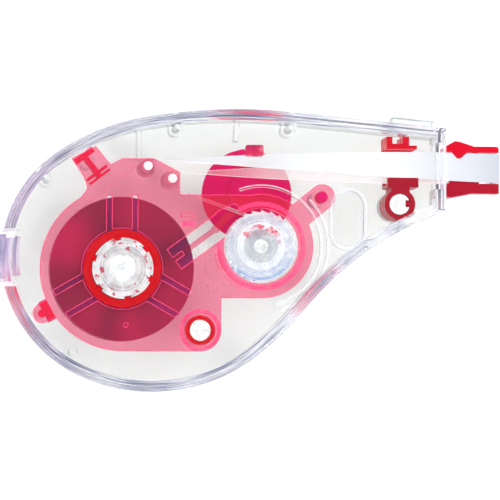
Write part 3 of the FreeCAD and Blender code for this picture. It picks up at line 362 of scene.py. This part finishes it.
def seam_sheen(name, pale, mauve, slate, rose_reflection, spots):
    """Painted reflections streaked along a joint between clear walls, mauve by the latch, with a
    painted red reflection near red pieces.
    """
    material, tree, shader = new_material(name)
    attribute = tree.nodes.new("ShaderNodeAttribute")
    attribute.attribute_name = ACROSS
    along = vector_math(tree, "MULTIPLY", object_coordinates(tree), (1, 1, 0)).outputs[0]
    joined = tree.nodes.new("ShaderNodeCombineXYZ")
    parts = tree.nodes.new("ShaderNodeSeparateXYZ")
    tree.links.new(along, parts.inputs[0])
    for axis in "XY":
        tree.links.new(
            math_node(tree, "MULTIPLY", parts.outputs[axis], STREAK_LENGTHS),
            joined.inputs[axis],
        )
    tree.links.new(
        math_node(tree, "MULTIPLY", attribute.outputs["Fac"], STREAK_LINES), joined.inputs["Z"]
    )
    streak = noise(tree, joined.outputs[0], 1.0, 2.0, 0.6)
    tone = remap(tree, streak, 0.0, 1.0, 0.40, 0.62)
    place = position_parts(tree)["X"]
    far_end = remap(tree, place, 1.0, 0.0, *MAUVE_END)
    base = mix_colour(tree, tone, slate, mix_colour(tree, far_end, pale, mauve))
    patch = noise(tree, joined.outputs[0], 0.9, 1.0)
    # Painted red reflection near the red pieces.
    red = math_node(
        tree,
        "MULTIPLY",
        near_spots(tree, spots, *ROSE_REACH),
        remap(tree, patch, 0.0, 1.0, 0.48, 0.55),
    )
    tree.links.new(mix_colour(tree, red, base, rose_reflection), shader.inputs["Base Color"])
    shader.inputs["Roughness"].default_value = 0.35
    cover = remap(tree, streak, 0.95, 0.12, 0.40, 0.62)
    thinning = remap(tree, place, 1.0, THINNEST, *THINNING)
    cover = math_node(tree, "MULTIPLY", cover, thinning)
    cover = math_node(tree, "MAXIMUM", cover, math_node(tree, "MULTIPLY", far_end, MAUVE_COVER))
    tree.links.new(math_node(tree, "MAXIMUM", cover, red), shader.inputs["Alpha"])
    return material


def paint(node, material):
    for slot in NODES[node].material_slots:
        slot.material = material


# The second colour of each clear moulding is painted shade and reflection on its sideways faces.
CLEAR = clear_plastic("clear_shell", (0.925, 0.94, 0.92), (0.89, 0.88, 0.91), 0.02)
LATCH = clear_plastic("clear_latch", (0.92, 0.90, 0.94), (0.78, 0.66, 0.76), 0.04)
frost_tops(CLEAR, ((0.01235, 0.01245, 0.04), (0.01295, 0.01325, 0.015)))
GEAR_CLEAR = clear_plastic("clear_gears", (0.99, 0.985, 0.99), (0.96, 0.94, 0.96), 0.3)
PINK = clear_plastic(
    "pink_plate", (1.0, 0.335, 0.455), (0.90, 0.06, 0.16), 0.03, PLATE_INDEX, 0.98
)
KNOB = turned_clear(
    "clear_knob", SUPPLY, (0.93, 0.95, 0.935), (0.58, 0.59, 0.58), 0.45, 0.0005
)
# Each row of painted reflection flecks: centre, colour, ring's inner and outer radius, share,
# grain, side.
# The knob's red flecks are a painted reflection of the red pieces round it.
painted_reflection_flecks(KNOB, SUPPLY, (0.62, 0.10, 0.16), 0.0032, 0.0051, 0.58, 900.0)
SPOOL = turned_clear(
    "clear_spool", TAKEUP, (0.86, 0.88, 0.88), (0.60, 0.65, 0.72), 0.72, 0.0011
)
# The spool's blue flecks below and red flecks above are painted reflections.
painted_reflection_flecks(SPOOL, TAKEUP, (0.30, 0.44, 0.72), 0.0054, 0.0058, 0.46, 1700.0, (0.1, -0.99, 0.0))
painted_reflection_flecks(SPOOL, TAKEUP, (0.38, 0.50, 0.75), 0.0044, 0.0047, 0.52, 1700.0, (0.3, -0.95, 0.0))
painted_reflection_flecks(SPOOL, TAKEUP, (0.80, 0.06, 0.12), 0.0028, 0.0038, 0.50, 1100.0, (0.1, 0.99, 0.0))
RED = glossy_plastic("red_plastic", (0.60, 0.010, 0.030), (0.50, 0.008, 0.024), 0.3, 0.06)
# Painted shade: the red head darkens towards lower Y.
painted_shade_across(RED, 13.8 * MM, 17.2 * MM, (0.34, 0.010, 0.024), (0.58, 0.006, 0.020))
RED_DISC = glossy_plastic("red_disc", (0.70, 0.008, 0.13), (0.62, 0.007, 0.11), 0.35, 0.15)
CORE_RED = glossy_plastic("core_red", (0.62, 0.006, 0.012), (0.52, 0.005, 0.010), 0.25, 0.2)
WHITE = glossy_plastic("white_plastic", (0.74, 0.74, 0.74), (0.70, 0.70, 0.71), 0.4)
ROLL = wound_edges_and_sheen("tape_edges", SUPPLY, (0.13, 0.008, 0.065), (0.37, 0.018, 0.145), 0.0005)
FILM_ROLL = wound_edges_and_sheen("film_edges", TAKEUP, (0.68, 0.69, 0.74), (0.84, 0.85, 0.88), 0.0005)
# The tape's second colour is painted shade towards the roller.
TAPE = coated_tape("white_tape", (0.88, 0.88, 0.88), (0.44, 0.465, 0.50), 0.022, 0.042)
FILM = thin_film("bare_film", (0.82, 0.79, 0.785), (0.76, 0.72, 0.71), 0.12, 0.5)
STEEL = glossy_plastic("steel_pin", (0.6, 0.6, 0.62), (0.55, 0.55, 0.57), 0.3)
STEEL.node_tree.nodes["Principled BSDF"].inputs["Metallic"].default_value = 1.0

FINISHES = {
    "rear_shell": CLEAR,
    "front_shell": CLEAR,
    "release_latch": LATCH,
    "cartridge_plate": PINK,
    "ratchet_pawl": PINK,
    "feed_guide_post": WHITE,
    "return_guide_post": WHITE,
    "locating_bush": CORE_RED,
    "arm_pin": RED_DISC,
    "upper_clip": RED_DISC,
    "lower_clip": RED_DISC,
    "head_frame": RED,
    "roller_pin": STEEL,
    "press_roller": WHITE,
    "feed_tape": TAPE,
    "return_film": FILM,
    "supply_core": CORE_RED,
    "tape_roll": ROLL,
    "slack_knob": KNOB,
    "clutch_ring": RED_DISC,
    "drive_gear": GEAR_CLEAR,
    "idler_gear": GEAR_CLEAR,
    "takeup_spool": SPOOL,
    "used_film_roll": FILM_ROLL,
    "takeup_gear": GEAR_CLEAR,
    "rewind_dial": RED_DISC,
}
SEE_THROUGH = (CLEAR, LATCH, GEAR_CLEAR, PINK, KNOB, SPOOL, FILM)
SOFT_SHADOW = ("tape_roll", "clutch_ring", "rewind_dial", "head_frame", "feed_tape")
for node_name, finish in FINISHES.items():
    paint(node_name, finish)
    if finish in SEE_THROUGH or node_name in SOFT_SHADOW:
        NODES[node_name].visible_shadow = False
NODES["head_frame"].visible_diffuse = False


# ---------------------------------------------------------------- seams and edges: painted reflections and highlights
SKIN_GAP = 0.01 * MM
SKIN_THICK = 0.02 * MM
# Places near red pieces where the seam skins carry a painted red reflection.
RED_REFLECTION_SPOTS = (
    DIAL + Vector((-0.0005, 0.0145, 0)),
    middle("lower_clip") + Vector((-0.0055, 0.0015, 0)),
    TAKEUP + Vector((0.012, -0.009, 0)),
)
# Painted reflections on the seam skins: pale, mauve and slate streaks; the mouth skin is a pale
# painted sheen over dark refraction; the latch skin paints the latch's slate and pink.
SHEEN = seam_sheen(
    "seam_sheen",
    (0.68, 0.67, 0.74),
    (0.42, 0.28, 0.42),
    (0.12, 0.13, 0.21),
    (0.76, 0.09, 0.16),
    RED_REFLECTION_SPOTS,
)
MOUTH_SHEEN = seam_sheen(
    "mouth_sheen",
    (0.58, 0.58, 0.62),
    (0.58, 0.58, 0.62),
    (0.44, 0.44, 0.50),
    (0.66, 0.40, 0.46),
    RED_REFLECTION_SPOTS[:1],
)
LATCH_SHEEN = seam_sheen(
    "latch_sheen",
    (0.78, 0.72, 0.80),
    (0.74, 0.64, 0.72),
    (0.30, 0.27, 0.42),
    (0.72, 0.30, 0.44),
    RED_REFLECTION_SPOTS[1:2],
)


def edge_sheen(name, colour, shade, opacity):
    """Painted reflection and highlight along a moulding's edges: a deeper or paler, slightly
    uneven colour.
    """
    material, tree, shader = new_material(name)
    drift = noise(tree, object_coordinates(tree), 240.0, 3.0, 0.6)
    tree.links.new(mix_colour(tree, drift, colour, shade), shader.inputs["Base Color"])
    shader.inputs["Roughness"].default_value = 0.3
    tree.links.new(
        remap(tree, drift, opacity * 0.6, opacity, 0.4, 0.6), shader.inputs["Alpha"]
    )
    return material


# Painted edge colours: pink reflection on the plate, pale highlights on the dish and guards, dark
# reflection on the lug, and a red reflection of the dial under the film stop.
PLATE_EDGE = edge_sheen("plate_edge", (0.80, 0.05, 0.17), (0.70, 0.03, 0.13), 0.6)
DISH_EDGE = edge_sheen("dish_edge", (0.62, 0.64, 0.66), (0.45, 0.47, 0.50), 0.5)
LUG_EDGE = edge_sheen("lug_edge", (0.40, 0.46, 0.44), (0.26, 0.31, 0.32), 0.8)
GUARD_EDGE = edge_sheen("guard_edge", (0.88, 0.86, 0.88), (0.60, 0.60, 0.64), 0.5)
STOP_RED_REFLECTION = edge_sheen("stop_red_reflection", (0.50, 0.006, 0.06), (0.44, 0.012, 0.08), 0.95)


def mark_across(mesh, layer, centre):
    """Marks each corner of a wall's skin: 0 on its outer side, 1 on its inner side."""
    for face in mesh.faces:
        for vert in face.verts:
            vert[layer] = 1.0
    for edge in mesh.edges:
        if len(edge.link_faces) != 1:
            continue
        first, second = (vert.co for vert in edge.verts)
        outward = (first + second) / 2 - edge.link_faces[0].calc_center_median()
        along = second - first
        if along.length < 1e-7:
            continue
        outward -= along * (outward.dot(along) / along.length_squared)
        radial = (first + second) / 2 - centre
        radial.z = 0
        if outward.dot(radial) > 0.5 * outward.length * radial.length:
            for vert in edge.verts:
                vert[layer] = 0.0


def level_faces(source, facing, floor, ceiling):
    """A CAD node's level faces between two heights, as a mesh of their own."""
    mesh = bmesh.new()
    mesh.from_mesh(NODES[source].data)
    bmesh.ops.remove_doubles(mesh, verts=mesh.verts, dist=1e-6)
    mesh.normal_update()
    others = [
        face
        for face in mesh.faces
        if face.normal.z * facing < 0.95
        or not floor < face.calc_center_median().z < ceiling
    ]
    bmesh.ops.delete(mesh, geom=others, context="FACES")
    return mesh


def add_skin(name, mesh, facing, material, body):
    """Closes a sheet of level faces into a thin layer that rides on a body."""
    bmesh.ops.translate(mesh, verts=mesh.verts, vec=(0, 0, facing * SKIN_GAP))
    grown = bmesh.ops.extrude_face_region(mesh, geom=mesh.faces[:])
    tops = [item for item in grown["geom"] if isinstance(item, bmesh.types.BMVert)]
    bmesh.ops.translate(mesh, verts=tops, vec=(0, 0, facing * SKIN_THICK))
    bmesh.ops.recalc_face_normals(mesh, faces=mesh.faces)
    data = bpy.data.meshes.new(name)
    mesh.to_mesh(data)
    mesh.free()
    data.materials.append(material)
    skin = bpy.data.objects.new(name, data)
    bpy.context.collection.objects.link(skin)
    skin.visible_shadow = False
    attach(skin, body)


def keep_edges(mesh, width):
    """Leaves only a narrow border just inside the sheet's edges."""
    inner = mesh.faces[:]
    bmesh.ops.inset_region(
        mesh, faces=inner, thickness=width, use_even_offset=True, use_boundary=True
    )
    bmesh.ops.delete(
        mesh, geom=[face for face in inner if face.is_valid], context="FACES"
    )


STREAKED = (SHEEN, MOUTH_SHEEN, LATCH_SHEEN)
# Name, CAD node, body, facing, lowest and highest Z in mm, border in mm, material, slot.
# Each skin is a thin painted layer seen through the clear walls: reflections along seams and
# edges, highlights along guards and dish, and a red reflection under the film stop.
SKINS = (
    ("rear_seam_sheen", "rear_shell", "case", 1, 7.3, 7.5, None, SHEEN, "clear_shell"),
    ("lip_seam_sheen", "front_shell", "cover", -1, 5.8, 6.0, None, SHEEN, "clear_shell"),
    ("mouth_seam_sheen", "front_shell", "cover", -1, 12.95, 13.05, None, MOUTH_SHEEN, "clear_shell"),
    ("latch_base_sheen", "release_latch", "latch", -1, 0.2, 0.4, None, LATCH_SHEEN, "clear_shell"),
    ("latch_grip_sheen", "release_latch", "latch", -1, 3.9, 4.1, None, LATCH_SHEEN, "clear_shell"),
    ("plate_edge_sheen", "cartridge_plate", "case", 1, 12.5, 12.7, 0.14, PLATE_EDGE, "pink_plate"),
    ("plate_rib_sheen", "cartridge_plate", "case", 1, 13.0, 13.7, None, PLATE_EDGE, "pink_plate"),
    ("stop_red_reflection", "front_shell", "cover", -1, 12.1, 12.3, None, STOP_RED_REFLECTION, "clear_shell"),
    ("guard_edge_sheen", "front_shell", "cover", -1, 12.8, 12.95, 0.12, GUARD_EDGE, "clear_shell"),
    ("lug_edge_sheen", "front_shell", "cover", -1, 8.55, 8.65, 0.14, LUG_EDGE, "clear_shell"),
    ("dish_edge_sheen", "front_shell", "cover", 1, 14.3, 14.5, 0.16, DISH_EDGE, "clear_shell"),
)
for skin_name, source, body, facing, floor, ceiling, border, finish, slot in SKINS:
    sheet = level_faces(source, facing, floor * MM, ceiling * MM)
    if finish in STREAKED:
        mark_across(sheet, sheet.verts.layers.float.new(ACROSS), SUPPLY)
    if border is not None:
        keep_edges(sheet, border * MM)
    add_skin(skin_name, sheet, facing, finish, body)

# Widths in mm of the small rounds along moulded edges.
EDGE_ROUNDS = {
    "cartridge_plate": 0.18,
    "head_frame": 0.15,
    "supply_core": 0.12,
    "slack_knob": 0.15,
    "takeup_spool": 0.08,
    "rewind_dial": 0.12,
    "release_latch": 0.15,
}
ROUNDED_ABOVE = math.radians(50)
for node_name, width in EDGE_ROUNDS.items():
    rounding = NODES[node_name].modifiers.new("edge_round", "BEVEL")
    rounding.width = width * MM
    rounding.segments = 2
    rounding.limit_method = "ANGLE"
    rounding.angle_limit = ROUNDED_ABOVE


# ---------------------------------------------------------------- floor, light, camera
FLOOR_REACH = 3.0
FLOOR_DROP = 0.02 * MM
STAGE_WHITE = (0.93, 0.93, 0.93, 1)


def make_floor():
    mesh = bpy.data.meshes.new("floor")
    signs = ((-1, -1), (1, -1), (1, 1), (-1, 1))
    corners = [(x * FLOOR_REACH, y * FLOOR_REACH, 0) for x, y in signs]
    mesh.from_pydata(corners, [], [(0, 1, 2, 3)])
    floor = bpy.data.objects.new("floor", mesh)
    floor.location.z = -FLOOR_DROP
    bpy.context.collection.objects.link(floor)
    material, _, shader = new_material("floor_white")
    shader.inputs["Base Color"].default_value = STAGE_WHITE
    shader.inputs["Roughness"].default_value = 0.9
    shader.inputs["Specular IOR Level"].default_value = 0.0
    mesh.materials.append(material)


BACKDROP_RADIUS = 2.9
BACKDROP_LOW = -0.01
BACKDROP_HEIGHT = 0.6
BACKDROP_SIDES = 96
BACKDROP_GLOW = 1.2


def make_backdrop():
    """White wall round the floor, seen only directly, so that low views end in white."""
    bottom, top = [], []
    for step in range(BACKDROP_SIDES):
        turn = 2 * math.pi * step / BACKDROP_SIDES
        x, y = BACKDROP_RADIUS * math.cos(turn), BACKDROP_RADIUS * math.sin(turn)
        bottom.append((x, y, BACKDROP_LOW))
        top.append((x, y, BACKDROP_HEIGHT))
    faces = []
    for step in range(BACKDROP_SIDES):
        after = (step + 1) % BACKDROP_SIDES
        faces.append((step, after, after + BACKDROP_SIDES, step + BACKDROP_SIDES))
    mesh = bpy.data.meshes.new("backdrop")
    mesh.from_pydata(bottom + top, [], faces)
    backdrop = bpy.data.objects.new("backdrop", mesh)
    bpy.context.collection.objects.link(backdrop)
    material, _, shader = new_material("backdrop_white")
    shader.inputs["Base Color"].default_value = STAGE_WHITE
    shader.inputs["Emission Color"].default_value = (1, 1, 1, 1)
    shader.inputs["Emission Strength"].default_value = BACKDROP_GLOW
    mesh.materials.append(material)
    for rays in ("diffuse", "glossy", "transmission", "volume_scatter", "shadow"):
        setattr(backdrop, "visible_" + rays, False)


ZENITH_EDGE = 0.86
ZENITH_DARK = 0.93
HORIZON_WARM = (0.50, 0.43, 0.55)
HORIZON_COOL = (0.32, 0.35, 0.46)
HORIZON_BAND = (0.08, 0.30)
WARM_SIDE = (-0.6, 0.8, 0.0)
SKY_STRENGTH = 1.7


def make_world():
    """White studio dome, dark straight overhead and dim slate at the horizon."""
    world = bpy.data.worlds.new("studio")
    bpy.context.scene.world = world
    world.use_nodes = True
    tree = world.node_tree
    background = tree.nodes["Background"]
    direction = tree.nodes.new("ShaderNodeTexCoord").outputs["Generated"]
    parts = tree.nodes.new("ShaderNodeSeparateXYZ")
    tree.links.new(direction, parts.inputs[0])
    ramp = tree.nodes.new("ShaderNodeValToRGB")
    stops = ramp.color_ramp.elements
    stops[0].position = 0.30
    stops[0].color = (0.92, 0.95, 1.0, 1)
    stops[1].position = 0.45
    stops[1].color = (1.0, 1.0, 1.0, 1)
    for position, level in ((ZENITH_EDGE, 1.0), (ZENITH_DARK, 0.06), (1.0, 0.03)):
        stop = stops.new(position)
        stop.color = (level, level, level * 1.1, 1)
    tree.links.new(parts.outputs["Z"], ramp.inputs["Fac"])
    side = vector_math(tree, "DOT_PRODUCT", direction, WARM_SIDE).outputs["Value"]
    horizon = mix_colour(
        tree, remap(tree, side, 0.0, 1.0, -0.6, 0.6), HORIZON_COOL, HORIZON_WARM
    )
    height = remap(tree, parts.outputs["Z"], 0.0, 1.0, *HORIZON_BAND)
    dome = mix_colour(tree, height, horizon, ramp.outputs["Color"])
    tree.links.new(dome, background.inputs["Color"])
    background.inputs["Strength"].default_value = SKY_STRENGTH


# Name, place, side length in metres and power in watts.
LAMPS = (
    ("key", (-0.35, 0.25, 0.6), 0.35, 1.0),
    ("fill", (0.45, -0.3, 0.5), 0.4, 0.4),
    ("glint", (0.30, -0.26, 0.55), 0.06, 0.25),
)


def make_lights():
    for name, place, size, power in LAMPS:
        light = bpy.data.lights.new(name, "AREA")
        light.shape = "SQUARE"
        light.size = size
        light.energy = power
        lamp = bpy.data.objects.new(name, light)
        lamp.location = place
        lamp.rotation_euler = Vector(place).to_track_quat("Z", "Y").to_euler()
        bpy.context.collection.objects.link(lamp)


VIEW_WIDTH = 86.2 * MM
VIEW_TILT = (-0.0905, -0.0436, 1.0)
LENS = 300.0
CLIP = (0.01, 10.0)
LIGHT_BOUNCES = 32


def make_camera():
    data = bpy.data.cameras.new("camera")
    data.lens = LENS
    camera = bpy.data.objects.new("camera", data)
    bpy.context.collection.objects.link(camera)
    away = Vector(VIEW_TILT).normalized()
    right = Vector((0, 1, 0)).cross(away).normalized()
    up = away.cross(right)
    distance = VIEW_WIDTH * LENS / data.sensor_width
    target = Vector((0, 0, middle("tape_roll").z))
    place = target + away * distance
    turn = Matrix((right, up, away)).transposed().to_4x4()
    camera.matrix_world = Matrix.Translation(place) @ turn
    data.clip_start, data.clip_end = CLIP
    bpy.context.scene.camera = camera


make_floor()
make_backdrop()
make_world()
make_lights()
make_camera()
scene = bpy.context.scene
scene.view_settings.view_transform = "Standard"
scene.cycles.max_bounces = LIGHT_BOUNCES
scene.cycles.transmission_bounces = LIGHT_BOUNCES
scene.cycles.transparent_max_bounces = LIGHT_BOUNCES
